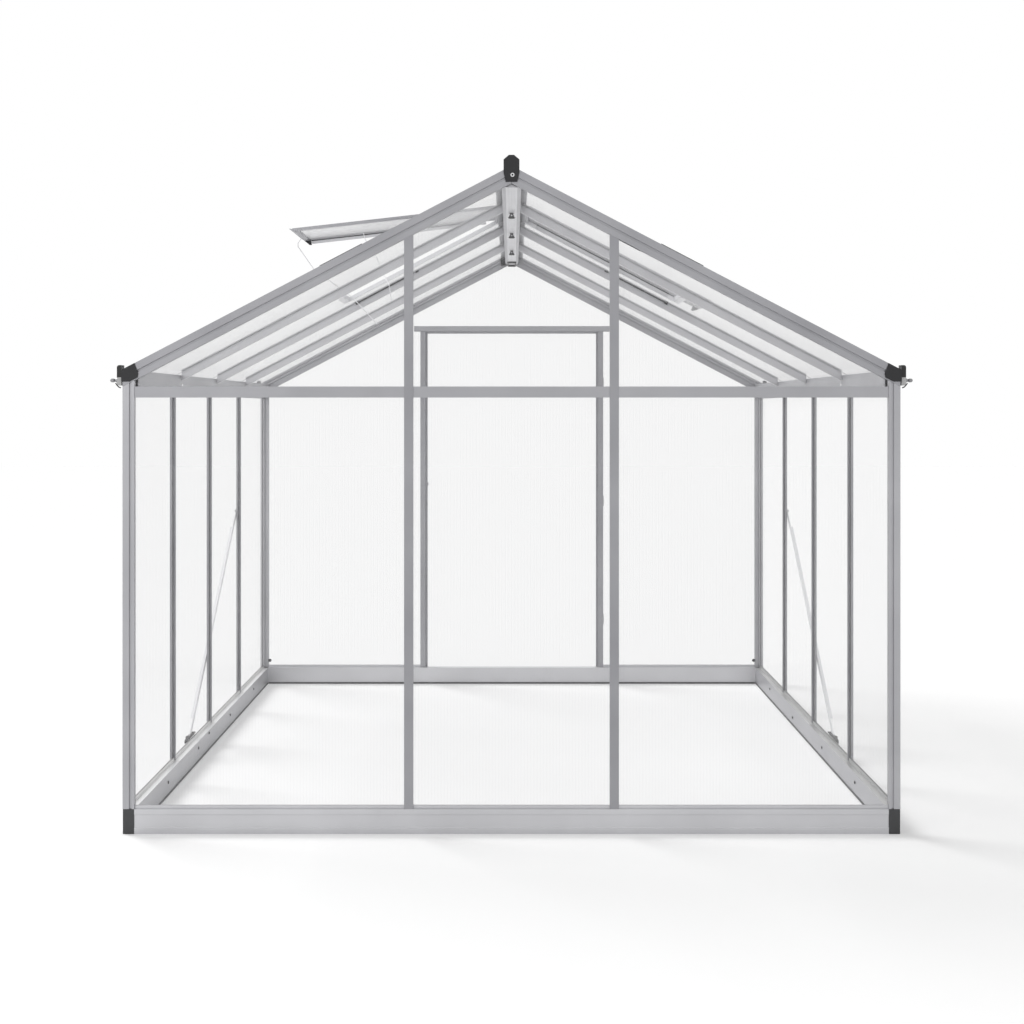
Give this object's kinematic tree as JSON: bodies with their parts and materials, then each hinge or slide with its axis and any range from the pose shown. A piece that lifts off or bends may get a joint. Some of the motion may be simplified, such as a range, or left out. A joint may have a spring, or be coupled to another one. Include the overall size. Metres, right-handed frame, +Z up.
{
  "type": "clear-sheet aluminium greenhouse",
  "caption": "Gable-roofed garden greenhouse with a slim aluminium frame, clear twin-wall sheets, open roof vent and a hinged gable door.",
  "frame": {"origin": "on the ground, under the middle of the closed gable's plinth rail", "axes": "+Z up, -Y out of the closed gable, +Y out of the gable with the door, +X to the right seen from the closed gable"},
  "size_m": [2.483, 2.6383, 2.0951],
  "materials": {
    "aluminium": "anodised, satin",
    "clear_sheet": "clear twin-wall sheet with fine flutes",
    "black_plastic": "moulded, matt",
    "grey_plastic": "moulded, matt",
    "bright_metal": "turned"
  },
  "bodies": {
    "frame": {"base_front": "aluminium", "base_rear": "aluminium", "base_left": "aluminium", "base_right": "aluminium", "base_corners": "grey_plastic", "corner_posts_front": "aluminium", "corner_posts_rear": "aluminium", "side_posts_left": "aluminium", "side_posts_right": "aluminium", "gable_posts": "aluminium", "front_transom": "aluminium", "front_rafters": "aluminium", "rear_rafters": "aluminium", "middle_rafters_left": "aluminium", "middle_rafters_right": "aluminium", "ridge_beam": "aluminium", "ridge_caps": "black_plastic", "eave_beam_left": "aluminium", "eave_beam_right": "aluminium", "eave_caps": "black_plastic", "gutter_ends": "black_plastic", "gutter_outlets": "bright_metal", "side_braces": "aluminium", "brace_clips": "black_plastic", "door_posts": "aluminium", "door_head": "aluminium", "front_sheets": "clear_sheet", "rear_sheets": "clear_sheet", "wall_sheets_left": "clear_sheet", "wall_sheets_right": "clear_sheet", "roof_sheets_left": "clear_sheet", "roof_sheets_right": "clear_sheet", "vent_kerb_left": "aluminium", "vent_kerb_right": "aluminium", "vent_frame_left": "aluminium", "vent_frame_right": "aluminium", "vent_sheet_left": "clear_sheet", "vent_sheet_right": "clear_sheet", "vent_corners": "black_plastic", "door_hinge_brackets": "aluminium"},
    "door": {"door_stiles": "aluminium", "door_rails": "aluminium", "door_sheet": "clear_sheet", "door_hinge_knuckles": "aluminium", "door_knob": "black_plastic"}
  },
  "joints": [
    {"name": "door_hinge", "type": "hinge", "parent": "frame", "child": "door", "pos_m": [0.436, 2.575, 0.9], "axis": [0, 0, -1], "range_deg": [0, 120]}
  ]
}
